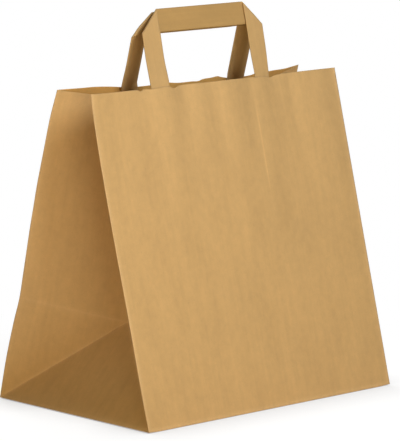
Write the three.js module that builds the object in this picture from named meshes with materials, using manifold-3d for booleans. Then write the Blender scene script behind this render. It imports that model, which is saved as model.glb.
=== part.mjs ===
// A wide-base kraft paper carrier bag with two flat tape handles.
// Millimetres, +Z up. The origin is the middle of the floor, and the front panel faces -Y.
import * as THREE from 'three';
import { mergeVertices } from 'three/addons/utils/BufferGeometryUtils.js';
import Module from 'manifold-3d';

const wasm = await Module();
wasm.setup();

// The sheet
const bagWidth = 320;
const bagDepth = 210;
const panelHeight = 314; // up the slope of a panel, floor fold to rim
const mouthDepth = 47.6; // front rim to back rim, at the side folds
const mouthShift = -1.8; // middle of the mouth, from the middle of the floor
const paper = 0.4;
const edgeKink = 1.1; // degrees that the back panel's side folds bend in at the flat-pack crease
const middleKink = 11; // degrees more that its middle bends in there
const backRimSag = 5; // how far the middle of the back rim comes forward

// The block bottom and the glued seam
const floorLayers = 2; // long flaps glued under the floor sheet
const flapLap = 24; // overlap of the two long flaps
const lapRamp = 26; // length over which the front flap climbs onto the back one
const seamWidth = 18;
const seamInset = 14; // seam to the side fold
const seamEnd = 1; // bare sheet at each end of the seam

// The handles and the patches that cover their ends
const tapeWidth = 22;
const tapeThickness = 0.8;
const handleSpan = 153; // outer edge to outer edge
const handleRise = 74; // rim to the top of the loop, along the tape
const legTuck = 44; // length of each leg inside the bag
const cornerGap = 0.4; // air between the two layers of a folded corner
const frontHandleLean = 12.5; // degrees from upright, towards the back
const backHandleLean = 15.5; // degrees from upright, towards the front
const patchWidth = 196;
const patchHeight = 50;
const patchDrop = 6; // rim to the patch's top edge
const patchRamp = 3; // run of the step over each edge of a leg
const clearance = 0.3;

// How finely the surfaces are divided
const widthSteps = 16;
const seamSteps = 2;
const creaseSteps = 6;
const upperSteps = 9;
const cornerBendSteps = 8;
const patchSteps = 5;
const longestMitre = 1.8; // on the outside of a fold, in half thicknesses
const mitreDamping = 0.001;
const weldDistance = 0.0005; // mesh points nearer than this are one point
const weldDepth = 0.1; // how far the flaps reach into the floor sheet, to be one with it

const kraftSheet = { color: 0xcca56c, roughness: 0.85, metalness: 0 };
const kraftTape = { color: 0xc69f66, roughness: 0.8, metalness: 0 };
const kraftPatch = { color: 0xb98f57, roughness: 0.88, metalness: 0 };

const point = (x, y, z) => new THREE.Vector3(x, y, z);
const radians = THREE.MathUtils.degToRad;
const halfWidth = bagWidth / 2;
const halfDepth = bagDepth / 2;
const creaseHeight = halfDepth; // the floor folds up flat against the back panel
const upperHeight = panelHeight - creaseHeight;
const floorLevel = (floorLayers + 0.5) * paper; // middle of the floor sheet's thickness
const frontRimY = mouthShift - mouthDepth / 2;
const backRimY = mouthShift + mouthDepth / 2;
const frontLean = Math.asin((frontRimY + halfDepth) / panelHeight);
const backLean = Math.asin((halfDepth - backRimY) / panelHeight);

// Evenly spaced values from one end to the other, with both ends.
function spread(from, to, steps) {
  return Array.from({ length: steps + 1 }, (_, i) => from + ((to - from) * i) / steps);
}

// Lines of the mesh run just outside the seam's edges, so the lap follows the panel facet by facet.
const seamOuter = halfWidth - seamInset;
const seamInner = seamOuter - seamWidth;
const widthStops = [
  ...spread(-halfWidth, seamInner - paper, widthSteps),
  ...spread(seamInner, seamOuter, seamSteps).slice(1, -1),
  ...spread(seamOuter + paper, halfWidth, seamSteps),
];
const lowerStops = spread(0, creaseHeight, creaseSteps);
const upperStops = spread(creaseHeight, panelHeight, upperSteps);

// Each panel is a surface of x and of s, the distance up its slope from the floor fold.
function frontWall(x, s) {
  return {
    at: point(x, s * Math.sin(frontLean) - halfDepth, floorLevel + s * Math.cos(frontLean)),
    inward: point(0, Math.cos(frontLean), -Math.sin(frontLean)),
  };
}

// The back panel bends in at its crease, most of all in the middle, which also lowers its rim.
function backWall(x, s) {
  const middle = 1 - (x / halfWidth) ** 2;
  const lowerLean = backLean + radians(edgeKink + middleKink * middle);
  const creaseY = halfDepth - creaseHeight * Math.sin(lowerLean);
  const rimY = backRimY - backRimSag * middle;
  const upperLean = Math.asin((creaseY - rimY) / upperHeight);
  const isLower = s < creaseHeight;
  const lean = isLower ? lowerLean : upperLean;
  const footY = isLower ? halfDepth : creaseY;
  const footZ = floorLevel + (isLower ? 0 : creaseHeight * Math.cos(lowerLean));
  const rise = isLower ? s : s - creaseHeight;
  return {
    at: point(x, footY - rise * Math.sin(lean), footZ + rise * Math.cos(lean)),
    inward: point(0, -Math.cos(lean), -Math.sin(lean)),
  };
}

// Where two circles in the x-z plane meet, on the side of the line a to b that faces the bag's middle.
function circlesMeet(a, radiusA, b, radiusB, side) {
  const apart = Math.hypot(b.x - a.x, b.z - a.z);
  const along = (radiusA ** 2 + apart ** 2 - radiusB ** 2) / (2 * apart);
  const across = Math.sqrt(radiusA ** 2 - along ** 2);
  const forward = point((b.x - a.x) / apart, 0, (b.z - a.z) / apart);
  const sideways = point(side * forward.z, 0, -side * forward.x);
  return a.clone().addScaledVector(forward, along).addScaledVector(sideways, across);
}

// The corners of one gusset. side is -1 on the left and 1 on the right.
function gussetCorners(side) {
  const x = side * halfWidth;
  const rimFront = frontWall(x, panelHeight).at;
  const rimBack = backWall(x, panelHeight).at;
  const lowerLean = backLean + radians(edgeKink);
  const tilt = Math.acos((1 - Math.sin(lowerLean)) / Math.cos(lowerLean));
  const apexX = side * (halfWidth - halfDepth * Math.sin(tilt));
  const apex = point(apexX, 0, floorLevel + halfDepth * Math.cos(tilt));
  const rimMiddle = rimFront.clone().lerp(rimBack, 0.5);
  const rimReach = Math.sqrt(halfDepth ** 2 - rimFront.distanceToSquared(rimBack) / 4);
  const apexReach = Math.sqrt(upperHeight ** 2 - rimMiddle.y ** 2);
  return {
    floorFront: frontWall(x, 0).at,
    floorBack: backWall(x, 0).at,
    creaseBack: backWall(x, creaseHeight).at,
    rimFront,
    rimBack,
    apex,
    rimInner: circlesMeet(rimMiddle, rimReach, apex, apexReach, side),
  };
}

function addFace(sheet, a, b, c, flip) {
  for (const corner of flip ? [a, c, b] : [a, b, c]) sheet.push(corner.x, corner.y, corner.z);
}

function addGrid(sheet, columns, rows, pointAt, flip) {
  for (let i = 1; i < columns.length; i++) {
    for (let j = 1; j < rows.length; j++) {
      const low = [pointAt(columns[i - 1], rows[j - 1]), pointAt(columns[i], rows[j - 1])];
      const high = [pointAt(columns[i - 1], rows[j]), pointAt(columns[i], rows[j])];
      addFace(sheet, low[0], low[1], high[1], flip);
      addFace(sheet, low[0], high[1], high[0], flip);
    }
  }
}

function addQuad(sheet, lowA, lowB, highA, highB, flip) {
  const pointAt = (u, v) => lowA.clone().lerp(lowB, u).lerp(highA.clone().lerp(highB, u), v);
  addGrid(sheet, spread(0, 1, creaseSteps), spread(0, 1, upperSteps), pointAt, flip);
}

function addTriangle(sheet, a, b, c, steps, flip) {
  const alongB = b.clone().sub(a).divideScalar(steps);
  const alongC = c.clone().sub(a).divideScalar(steps);
  const pointAt = (i, j) => a.clone().addScaledVector(alongB, i).addScaledVector(alongC, j);
  for (let i = 0; i < steps; i++) {
    for (let j = 0; i + j < steps; j++) {
      const [near, ahead, above] = [pointAt(i, j), pointAt(i + 1, j), pointAt(i, j + 1)];
      addFace(sheet, near, ahead, above, flip);
      if (i + j < steps - 1) addFace(sheet, ahead, pointAt(i + 1, j + 1), above, flip);
    }
  }
}

// One V-folded gusset with the flat-pack creases: two diagonals that meet at the apex, the centre
// crease above it, and the crease across the back half.
function addGusset(sheet, side) {
  const c = gussetCorners(side);
  const isLeft = side < 0;
  addTriangle(sheet, c.floorFront, c.floorBack, c.apex, creaseSteps, isLeft);
  addTriangle(sheet, c.floorBack, c.apex, c.creaseBack, creaseSteps, !isLeft);
  addQuad(sheet, c.floorFront, c.apex, c.rimFront, c.rimInner, isLeft);
  addQuad(sheet, c.creaseBack, c.apex, c.rimBack, c.rimInner, !isLeft);
}

function mergedSheet(sheet) {
  const loose = new THREE.BufferGeometry();
  loose.setAttribute('position', new THREE.Float32BufferAttribute(sheet, 3));
  return mergeVertices(loose, weldDistance);
}

// The middle surface of the folded sheet, as triangles that face out of the bag.
function foldedSheet() {
  const sheet = [];
  const floorAt = (x, y) => point(x, y, floorLevel);
  addGrid(sheet, widthStops, spread(-halfDepth, halfDepth, creaseSteps), floorAt, true);
  addGrid(sheet, widthStops, spread(0, panelHeight, upperSteps), (x, s) => frontWall(x, s).at, false);
  addGrid(sheet, widthStops, lowerStops, (x, s) => backWall(x, s).at, true);
  addGrid(sheet, widthStops, upperStops, (x, s) => backWall(x, s).at, true);
  addGusset(sheet, -1);
  addGusset(sheet, 1);
  return mergedSheet(sheet);
}

function geometryFrom(positions, faces) {
  const geometry = new THREE.BufferGeometry();
  const coordinates = positions.flatMap((p) => p.toArray());
  geometry.setAttribute('position', new THREE.Float32BufferAttribute(coordinates, 3));
  geometry.setIndex(faces.flat());
  geometry.computeVertexNormals();
  return geometry;
}

// The shift that moves every wall at a vertex out by one unit: the least-squares mitre of their normals.
// Damping keeps it short where the walls lie in one plane.
function mitreOf(normals) {
  const sums = [mitreDamping, 0, 0, 0, mitreDamping, 0, 0, 0, mitreDamping];
  const total = point(0, 0, 0);
  for (const n of normals) {
    const parts = n.toArray();
    for (let i = 0; i < 3; i++) {
      for (let j = 0; j < 3; j++) sums[3 * i + j] += parts[i] * parts[j];
    }
    total.add(n);
  }
  return total.applyMatrix3(new THREE.Matrix3().set(...sums).invert());
}

// Gives a sheet its thickness. A fold has its full wall on the inside and a blunt edge on the outside.
function thicken(sheet, outward, inward) {
  const index = sheet.index.array;
  const middle = sheet.attributes.position;
  const vertices = [];
  for (let i = 0; i < middle.count; i++) vertices.push(point(0, 0, 0).fromBufferAttribute(middle, i));
  const faces = [];
  for (let i = 0; i < index.length; i += 3) faces.push([index[i], index[i + 1], index[i + 2]]);
  const touching = vertices.map(() => []);
  const edges = new Map();
  for (const face of faces) {
    const [a, b, c] = face.map((i) => vertices[i]);
    const normal = b.clone().sub(a).cross(c.clone().sub(a)).normalize();
    const centre = a.clone().add(b).add(c).divideScalar(3);
    face.forEach((vertex, k) => {
      touching[vertex].push({ normal, centre });
      edges.set(`${vertex},${face[(k + 1) % 3]}`, [vertex, face[(k + 1) % 3]]);
    });
  }
  const layerAt = (direction, distance) => vertices.map((vertex, i) => {
    const normals = touching[i].map((t) => t.normal.clone().multiplyScalar(direction));
    const mitre = mitreOf(normals);
    let depth = 0;
    for (const n of normals) {
      for (const t of touching[i]) depth += t.centre.clone().sub(vertex).dot(n);
    }
    if (depth < 0) mitre.clampLength(0, longestMitre);
    return vertex.clone().addScaledVector(mitre, distance);
  });
  const count = vertices.length;
  const inner = faces.map(([a, b, c]) => [a + count, c + count, b + count]);
  const rim = [];
  for (const [a, b] of edges.values()) {
    if (!edges.has(`${b},${a}`)) rim.push([b, a, a + count], [b, a + count, b + count]);
  }
  return geometryFrom([...layerAt(1, outward), ...layerAt(-1, inward)], [...faces, ...inner, ...rim]);
}

function solidOf(geometry) {
  const bare = geometry.clone();
  bare.deleteAttribute('normal');
  bare.deleteAttribute('uv');
  const merged = mergeVertices(bare, weldDistance);
  const vertProperties = Float32Array.from(merged.attributes.position.array);
  const triVerts = Uint32Array.from(merged.index.array);
  return new wasm.Manifold(new wasm.Mesh({ numProp: 3, vertProperties, triVerts }));
}

function geometryOf(solid) {
  const mesh = solid.getMesh();
  const geometry = new THREE.BufferGeometry();
  geometry.setAttribute('position', new THREE.BufferAttribute(mesh.vertProperties, 3));
  geometry.setIndex(new THREE.BufferAttribute(mesh.triVerts, 1));
  geometry.computeVertexNormals();
  return geometry;
}

// A closed band through a row of sections, each of four corners in order round the band.
function bandThrough(sections) {
  const faces = [[0, 1, 2], [0, 2, 3]];
  for (let i = 0; i < sections.length - 1; i++) {
    for (let k = 0; k < 4; k++) {
      const [a, b] = [4 * i + k, 4 * i + ((k + 1) % 4)];
      faces.push([a, a + 4, b + 4], [a, b + 4, b]);
    }
  }
  const last = 4 * (sections.length - 1);
  faces.push([last, last + 2, last + 1], [last, last + 3, last + 2]);
  const positions = sections.flat();
  let volume = 0;
  for (const [a, b, c] of faces) volume += positions[a].dot(positions[b].clone().cross(positions[c]));
  return geometryFrom(positions, volume < 0 ? faces.map(([a, b, c]) => [a, c, b]) : faces);
}

function extruded(outline, depth) {
  const shape = new THREE.Shape(outline.map(([x, y]) => new THREE.Vector2(x, y)));
  return new THREE.ExtrudeGeometry(shape, { depth, bevelEnabled: false });
}

// One long bottom flap: its section runs across the whole width, and its ends are cut at 45 degrees.
// side is -1 for the front flap and 1 for the back one.
function bottomFlap(side, section) {
  const across = extruded(section, bagWidth);
  across.rotateX(Math.PI / 2).rotateZ(Math.PI / 2).translate(-halfWidth, 0, 0);
  const foldY = side * halfDepth;
  const outline = [[-halfWidth, foldY], [halfWidth, foldY], [0, foldY - side * halfWidth]];
  return solidOf(across).intersect(solidOf(extruded(outline, floorLevel)));
}

function bottomFlaps() {
  const flapTop = floorLevel - paper / 2 + weldDepth;
  const lapEdge = flapLap / 2;
  const front = [
    [-halfDepth, 0],
    [-lapEdge - lapRamp, 0],
    [-lapEdge, paper],
    [lapEdge, paper],
    [lapEdge, flapTop],
    [-halfDepth, flapTop],
  ];
  const back = [[-lapEdge, 0], [halfDepth, 0], [halfDepth, flapTop], [-lapEdge, flapTop]];
  return bottomFlap(-1, front).add(bottomFlap(1, back));
}

// The lap where the sheet's two ends are glued, up the outside of the back panel. Its rows lie between
// the panel's own rows.
function gluedSeam() {
  const lap = [];
  const backAt = (x, s) => backWall(x, s).at;
  const seamStops = spread(seamInner, seamOuter, seamSteps);
  const between = (stops) => stops.slice(1).map((stop, i) => (stop + stops[i]) / 2);
  addGrid(lap, seamStops, [seamEnd, ...between(lowerStops), creaseHeight], backAt, true);
  addGrid(lap, seamStops, [creaseHeight, ...between(upperStops), panelHeight - seamEnd], backAt, true);
  return solidOf(thicken(mergedSheet(lap), paper / 2 + paper, 0));
}

function bagBody() {
  const wall = solidOf(thicken(foldedSheet(), paper / 2, paper / 2));
  return geometryOf(wall.add(bottomFlaps()).add(gluedSeam()));
}

// Local places on a handle or patch: u across, v up from the rim, n into the bag from the wall's middle.
// Below the rim they follow the wall, and above it they lie in the handle's own flat plane.
function placer(wall, facing, handleLean) {
  const legCentre = (handleSpan - tapeWidth) / 2;
  const rim = wall(legCentre, panelHeight).at;
  const lean = radians(handleLean);
  const up = point(0, -facing * Math.sin(lean), Math.cos(lean));
  const inward = point(0, -facing * Math.cos(lean), -Math.sin(lean));
  return ({ u, v, n }) => {
    if (v > 0) return point(u, rim.y, rim.z).addScaledVector(up, v).addScaledVector(inward, n);
    const base = wall(u, panelHeight + v);
    return base.at.addScaledVector(base.inward, n);
  };
}

// One piece of flat tape: up a leg, folded over at 45 degrees behind it, across, and down the other leg.
function tapeHandle(place) {
  const outer = handleSpan / 2;
  const bendRadius = (tapeThickness + cornerGap) / 2;
  const legLevel = paper / 2 + clearance + tapeThickness / 2;
  const foldLow = handleRise - tapeWidth;
  const sections = [];
  const addSection = (first, second, shift, level, facing) => {
    const corner = (end, sign) => place({
      u: end.u + shift.u + (sign * facing.u * tapeThickness) / 2,
      v: end.v + shift.v + (sign * facing.v * tapeThickness) / 2,
      n: level + (sign * facing.n * tapeThickness) / 2,
    });
    sections.push([corner(first, 1), corner(second, 1), corner(second, -1), corner(first, -1)]);
  };
  const addLegEnd = (side, v) => {
    const edges = [{ u: side * outer, v }, { u: side * (outer - tapeWidth), v }];
    addSection(...edges, { u: 0, v: 0 }, legLevel, { u: 0, v: 0, n: -1 });
  };
  const addCorner = (side, k) => {
    const turn = (Math.PI * k) / cornerBendSteps;
    const edges = [{ u: side * outer, v: foldLow }, { u: side * (outer - tapeWidth), v: handleRise }];
    const reach = Math.sin(turn) * Math.SQRT1_2;
    const shift = { u: side * reach * bendRadius, v: reach * bendRadius };
    const level = legLevel + bendRadius * (1 - Math.cos(turn));
    addSection(...edges, shift, level, { u: side * reach, v: reach, n: -Math.cos(turn) });
  };
  addLegEnd(-1, -legTuck);
  addLegEnd(-1, 0);
  for (let k = 0; k <= cornerBendSteps; k++) addCorner(-1, k);
  for (let k = cornerBendSteps; k >= 0; k--) addCorner(1, k);
  addLegEnd(1, 0);
  addLegEnd(1, -legTuck);
  return bandThrough(sections);
}

// The sheet glued over both legs: flat on the wall, with a step up over each leg.
function handlePatch(place) {
  const low = paper + clearance;
  const high = low + tapeThickness + clearance;
  const legOuter = handleSpan / 2 + clearance;
  const legInner = handleSpan / 2 - tapeWidth - clearance;
  const half = [
    [legInner - patchRamp, low],
    [legInner, high],
    [legOuter, high],
    [legOuter + patchRamp, low],
    [patchWidth / 2, low],
  ];
  const otherHalf = half.map(([u, n]) => [-u, n]).reverse();
  const between = spread(patchRamp - legInner, legInner - patchRamp, patchSteps).slice(1, -1);
  const stops = [...otherHalf, ...between.map((u) => [u, low]), ...half];
  const sections = stops.map(([u, n]) => {
    const corner = (v, shift) => place({ u, v, n: n + shift });
    const [top, bottom] = [-patchDrop, -patchDrop - patchHeight];
    return [
      corner(top, -paper / 2),
      corner(bottom, -paper / 2),
      corner(bottom, paper / 2),
      corner(top, paper / 2),
    ];
  });
  return bandThrough(sections);
}

function namedMesh(name, geometry, finish) {
  const mesh = new THREE.Mesh(geometry, new THREE.MeshStandardMaterial(finish));
  mesh.name = name;
  return mesh;
}

const onFront = placer(frontWall, -1, frontHandleLean);
const onBack = placer(backWall, 1, backHandleLean);
const bag = new THREE.Group();
bag.add(namedMesh('bag_body', bagBody(), kraftSheet));
bag.add(namedMesh('front_handle', tapeHandle(onFront), kraftTape));
bag.add(namedMesh('back_handle', tapeHandle(onBack), kraftTape));
bag.add(namedMesh('front_handle_patch', handlePatch(onFront), kraftPatch));
bag.add(namedMesh('back_handle_patch', handlePatch(onBack), kraftPatch));

export default bag;
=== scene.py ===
import math
import bmesh
import bpy
from mathutils import Matrix, Vector


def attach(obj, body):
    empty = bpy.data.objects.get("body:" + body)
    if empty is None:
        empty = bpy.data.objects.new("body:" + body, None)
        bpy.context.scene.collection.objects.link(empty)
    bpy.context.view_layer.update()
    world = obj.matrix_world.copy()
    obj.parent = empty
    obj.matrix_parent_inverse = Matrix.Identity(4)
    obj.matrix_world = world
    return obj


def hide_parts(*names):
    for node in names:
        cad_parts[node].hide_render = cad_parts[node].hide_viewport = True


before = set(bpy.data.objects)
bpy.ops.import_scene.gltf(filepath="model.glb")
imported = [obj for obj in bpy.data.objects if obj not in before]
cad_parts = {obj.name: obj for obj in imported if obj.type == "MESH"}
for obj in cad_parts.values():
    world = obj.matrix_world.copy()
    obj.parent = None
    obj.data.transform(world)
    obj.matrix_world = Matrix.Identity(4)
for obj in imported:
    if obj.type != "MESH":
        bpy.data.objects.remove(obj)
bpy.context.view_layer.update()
scene = bpy.context.scene
mm = 0.001
print("frame loaded:", ", ".join(sorted(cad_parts)))

# Lengths are in millimetres and angles in degrees, down to the studio at the end, which is in metres.
shot = {
    "azimuth": -43.6,
    "elevation": 9.1,
    "roll": 0.2,
    "lens": 273.4,
    "sensor": 36.0,
    "target": (3.3, 0.0, 166.7),
    "distance": 3212.0,
    "nearest": 100.0,
    "furthest": 60000.0,
}


def addCamera():
    camera = bpy.data.objects.new("photo camera", bpy.data.cameras.new("photo camera"))
    scene.collection.objects.link(camera)
    a, e, r = (math.radians(shot[key]) for key in ("azimuth", "elevation", "roll"))
    back = Vector((math.sin(a) * math.cos(e), -math.cos(a) * math.cos(e), math.sin(e)))
    level = (-back).cross(Vector((0, 0, 1))).normalized()
    upright = level.cross(-back)
    right = level * math.cos(r) + upright * math.sin(r)
    up = upright * math.cos(r) - level * math.sin(r)
    at = (Vector(shot["target"]) + back * shot["distance"]) * mm
    camera.matrix_world = Matrix.Translation(at) @ Matrix((right, up, back)).transposed().to_4x4()
    camera.data.lens = shot["lens"]
    camera.data.sensor_width = shot["sensor"]
    camera.data.clip_start = shot["nearest"] * mm
    camera.data.clip_end = shot["furthest"] * mm
    scene.camera = camera


addCamera()
print("camera placed")


def smooth(t):
    t = min(max(t, 0.0), 1.0)
    return t * t * (3 - 2 * t)


def mix(a, b, t):
    return a + (b - a) * t


# A soft curve through (position, value) pairs.
def softCurve(pairs, x):
    if x <= pairs[0][0]:
        return pairs[0][1]
    for i in range(len(pairs) - 1):
        (x0, y0), (x1, y1) = pairs[i], pairs[i + 1]
        if x <= x1:
            before, after = pairs[max(i - 1, 0)], pairs[min(i + 2, len(pairs) - 1)]
            slope0 = (y1 - before[1]) / (x1 - before[0])
            slope1 = (after[1] - y0) / (after[0] - x0)
            t, gap = (x - x0) / (x1 - x0), x1 - x0
            return (
                y0 * (1 + 2 * t) * (1 - t) ** 2
                + y1 * (3 - 2 * t) * t * t
                + gap * t * (1 - t) * (slope0 * (1 - t) - slope1 * t)
            )
    return pairs[-1][1]


# The folded sheet, with the sizes of the CAD part.
bag = {
    "width": 320.0,
    "depth": 210.0,
    "panelHeight": 314.0,  # up the leaning panel
    "mouthDepth": 47.6,
    "mouthShift": -1.8,
    "floorLevel": 1.0,
    "edgeKink": 1.1,  # how much further the back panel leans below its crease, at its sides
    "middleKink": 11.0,  # and what its middle adds to that
    "rimSag": 5.0,
    "thickness": 0.3,
    "cell": 3.6,
    "foldLip": 0.9,
    "foldRounding": 0.3,
    "footBlend": 8.0,  # the level of the bottom fold is left within 1/8 of the height
    "cornerReach": 14.0,
    "flapLength": 117.0,
    "flapNarrowing": 0.999,
    "flapLap": 24.0,
    "flapRamp": 26.0,
    "flapDrop": 3.0,
    "flapGap": 0.05,
    "endFlapTuck": 0.9,
    "tuckReach": 2.0,
    "endFlapLevel": 0.9,
    "bottomFoldLevel": 0.2,
    "cornerLevel": 0.75,
}
halfWidth = bag["width"] / 2
halfDepth = bag["depth"] / 2
creaseHeight = halfDepth
upperHeight = bag["panelHeight"] - creaseHeight
frontRimY = bag["mouthShift"] - bag["mouthDepth"] / 2
backRimY = bag["mouthShift"] + bag["mouthDepth"] / 2
frontLean = math.asin((frontRimY + halfDepth) / bag["panelHeight"])
backLean = math.asin((halfDepth - backRimY) / bag["panelHeight"])
weld = 0.00001  # metres

# How the real sheet departs from flat panels: the left side fold bows in, the back one bulges, soft upright
# bands run down from the front rim, one sharp line stands among them, and both rims are uneven. A bow is in
# (share of the height, mm), a rim in (x, mm), and a band is (x, how much lighter it looks, its half width,
# how far down it runs). The bands and the line are also painted into the front panel's colour as light and
# shade: a painted highlight where they are lighter and painted shade where they are darker.
wear = {
    "leftBow": [
        (0, 0), (0.1, 0.8), (0.33, 1.3), (0.57, 2.5), (0.8, 2.8), (0.9, 2.0), (0.95, 1.2), (1, -0.6),
    ],
    "leftBowReach": 120.0,
    "leftBowFall": 1.5,
    "backBow": [
        (0, 0), (0.13, 1.0), (0.25, 0.8), (0.335, 0.1), (0.41, 0.5), (0.48, 1.0), (0.56, 1.6),
        (0.63, 1.9), (0.7, 2.25), (0.8, 2.1), (0.89, 1.95), (0.93, 1.6), (0.96, 1.1), (1, 0.4),
    ],
    "backBowReach": 90.0,
    "frontBands": [
        (-143, -0.04, 8, 60), (-108, -0.04, 6, 30), (-84, 0.055, 8, 110), (-72, 0.03, 6, 60),
        (-58, -0.07, 6, 110), (-51, -0.05, 5, 40), (-37, 0.09, 8, 90), (-16, -0.04, 7, 90),
        (0, 0.09, 8, 120), (30, -0.11, 10, 120), (46, 0.08, 4, 75), (64, -0.085, 10, 130),
        (83, 0.05, 4, 40), (91, -0.07, 5, 60), (106, 0.06, 9, 150), (124, 0.05, 10, 120),
        (150, -0.07, 8, 170),
    ],
    "bandSlope": 1.5,
    "bandPaintedShading": 0.6,
    "bandSideFade": 20.0,
    "bandFootFade": 30.0,
    # The line's light is a painted highlight along it, and its height a low ridge.
    "line": {
        "x": 45.0, "low": 196.0, "high": 292.0, "lowFade": 20.0, "highFade": 24.0,
        "halfWidth": 1.3, "light": 0.11, "height": 0.2,
    },
    "frontRim": [
        (-160, -0.8), (-140, -1.2), (-105, -1.3), (-101, -1.5), (-97, -3.2), (-93, -1.2), (-87, -1.9),
        (-80, -2.0), (-70, -1.3), (-61, -1.6), (-57, -3.2), (-53, -3.0), (-48, -1.2), (-20, -1.2),
        (20, -1.2), (38, -1.0), (46, -0.8), (52, -1.8), (58, -1.3), (66, -1.6), (73, -3.0), (79, -1.2),
        (95, -0.3), (120, -0.3), (160, -0.2),
    ],
    "frontRimReach": 10.0,
    "backRim": [
        (-160, 0), (-135, 0.3), (-114, 0.9), (-102, 0.8), (-92, 0.3), (-84, -0.3), (-74, -1.2),
        (-58, -0.8), (-45, -0.3), (-40, 0.4), (-34, 2.0), (-12, -0.2), (9, -0.4), (17, -0.8), (22, 0.5),
        (28, 0.9), (33, 0.9), (38, 1.2), (43, 1.6), (48, 0.2), (54, -1.0), (60, -2.2), (66, -2.4),
        (89, -2.6), (97, -1.6), (101, -2.5), (122, -1.8), (138, -2.0), (150, -1.2), (160, -0.3),
    ],
    "backRimReach": 40.0,
    "backTopNarrow": 2.0,
    "wearAndHighlightReach": 1.5,
}


def bottomLevel(x):
    toCorner = (abs(x) - halfWidth + bag["cornerReach"]) / bag["cornerReach"]
    return mix(bag["bottomFoldLevel"], bag["cornerLevel"], smooth(toCorner))


# The sharp upright line on the front panel: one along its middle, fading to its sides and ends.
def onLine(x, s):
    line = wear["line"]
    beside = max(0.0, 1 - abs(x - line["x"]) / line["halfWidth"])
    aboveLow, belowHigh = (s - line["low"]) / line["lowFade"], (line["high"] - s) / line["highFade"]
    return beside * smooth(aboveLow) * smooth(belowHigh)


# How far the front panel stands in from flat.
def frontDent(x, s):
    t = s / bag["panelHeight"]
    nearFold = 1 - smooth((x + halfWidth) / wear["leftBowReach"])
    bow = softCurve(wear["leftBow"], t) * nearFold ** wear["leftBowFall"]
    inside = smooth((halfWidth - abs(x)) / wear["bandSideFade"]) * smooth(s / wear["bandFootFade"])
    fromRim = bag["panelHeight"] - s
    waves = sum(
        light * wear["bandSlope"] * half * math.erf((x - at) / half) * math.exp(-((fromRim / reach) ** 2))
        for at, light, half, reach in wear["frontBands"]
    )
    return bow - waves * inside - wear["line"]["height"] * onLine(x, s)


# Painted light and shade on the front panel at one place: a painted highlight on the bands' lighter parts
# and along the sharp line, and painted shade on the bands' darker parts.
def bandPaintedShading(x, s):
    fromRim = bag["panelHeight"] - s
    return wear["line"]["light"] * onLine(x, s) + wear["bandPaintedShading"] * sum(
        light * math.exp(-(((x - at) / half) ** 2)) * math.exp(-((fromRim / reach) ** 2))
        for at, light, half, reach in wear["frontBands"]
    )


def ragged(rim, reach, x, s):
    return softCurve(rim, x) * smooth((s - bag["panelHeight"] + reach) / reach)


# Places on the front panel: x across, s up the sheet from the floor fold, n into the bag.
def frontAt(x, s, n=0.0):
    t = s / bag["panelHeight"]
    foot = mix(bottomLevel(x), bag["floorLevel"], smooth(t * bag["footBlend"]))
    at = Vector((x, s * math.sin(frontLean) - halfDepth, foot + s * math.cos(frontLean)))
    at.z += ragged(wear["frontRim"], wear["frontRimReach"], x, s)
    inward = Vector((0, math.cos(frontLean), -math.sin(frontLean)))
    return at + inward * (n + frontDent(x, s))


# The same on the back panel, which bends at its level crease.
def backAt(x, s, n=0.0):
    middle = max(0.0, 1 - (x / halfWidth) ** 2)
    lowerLean = backLean + math.radians(bag["edgeKink"] + bag["middleKink"] * middle)
    creaseY = halfDepth - creaseHeight * math.sin(lowerLean)
    rimY = backRimY - bag["rimSag"] * middle
    upperLean = math.asin((creaseY - rimY) / upperHeight)
    t = s / bag["panelHeight"]
    foot = mix(bottomLevel(x), bag["floorLevel"], smooth(t * bag["footBlend"]))
    if s < creaseHeight:
        lean, footY, footZ, rise = lowerLean, halfDepth, foot, s
    else:
        lean, footY, rise = upperLean, creaseY, s - creaseHeight
        footZ = bag["floorLevel"] + creaseHeight * math.cos(lowerLean)
    up = smooth((s - creaseHeight) / upperHeight)
    bulge = softCurve(wear["backBow"], t) * (1 - smooth((halfWidth - abs(x)) / wear["backBowReach"]))
    wide = x * (1 - wear["backTopNarrow"] * up / halfWidth) + math.copysign(bulge, x)
    level = footZ + rise * math.cos(lean) + ragged(wear["backRim"], wear["backRimReach"], x, s)
    at = Vector((wide, footY - rise * math.sin(lean) + bulge, level))
    return at + Vector((0, -math.cos(lean), -math.sin(lean))) * n


# Where two circles in the x-z plane meet, on the side that faces the middle of the bag.
def circlesMeet(a, radiusA, b, radiusB, side):
    apart = math.hypot(b.x - a.x, b.z - a.z)
    along = (radiusA**2 + apart**2 - radiusB**2) / (2 * apart)
    across = math.sqrt(radiusA**2 - along**2)
    forward = Vector(((b.x - a.x) / apart, 0, (b.z - a.z) / apart))
    return a + forward * along + Vector((side * forward.z, 0, -side * forward.x)) * across


# The two ends of a gusset's centre fold. Paper doesn't stretch, so both keep their distances on the sheet.
def gussetPoints(side):
    rimFront = frontAt(side * halfWidth, bag["panelHeight"])
    rimBack = backAt(side * halfWidth, bag["panelHeight"])
    lean = backLean + math.radians(bag["edgeKink"])
    tilt = math.acos((1 - math.sin(lean)) / math.cos(lean))
    apexX = side * (halfWidth - halfDepth * math.sin(tilt))
    apex = Vector((apexX, 0, bag["floorLevel"] + halfDepth * math.cos(tilt)))
    rimMiddle = (rimFront + rimBack) / 2
    rimReach = math.sqrt(halfDepth**2 - (rimFront - rimBack).length_squared / 4)
    apexReach = math.sqrt(upperHeight**2 - rimMiddle.y**2)
    return apex, circlesMeet(rimMiddle, rimReach, apex, apexReach, side)


# Values from 0 to 1 with a narrow step at both ends, so that a fold is a small round and not a knife edge.
def stops(length, cell):
    lip = bag["foldLip"] / length
    count = max(2, round((length - 2 * bag["foldLip"]) / cell))
    return [0.0] + [mix(lip, 1 - lip, i / count) for i in range(count + 1)] + [1.0]


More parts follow.
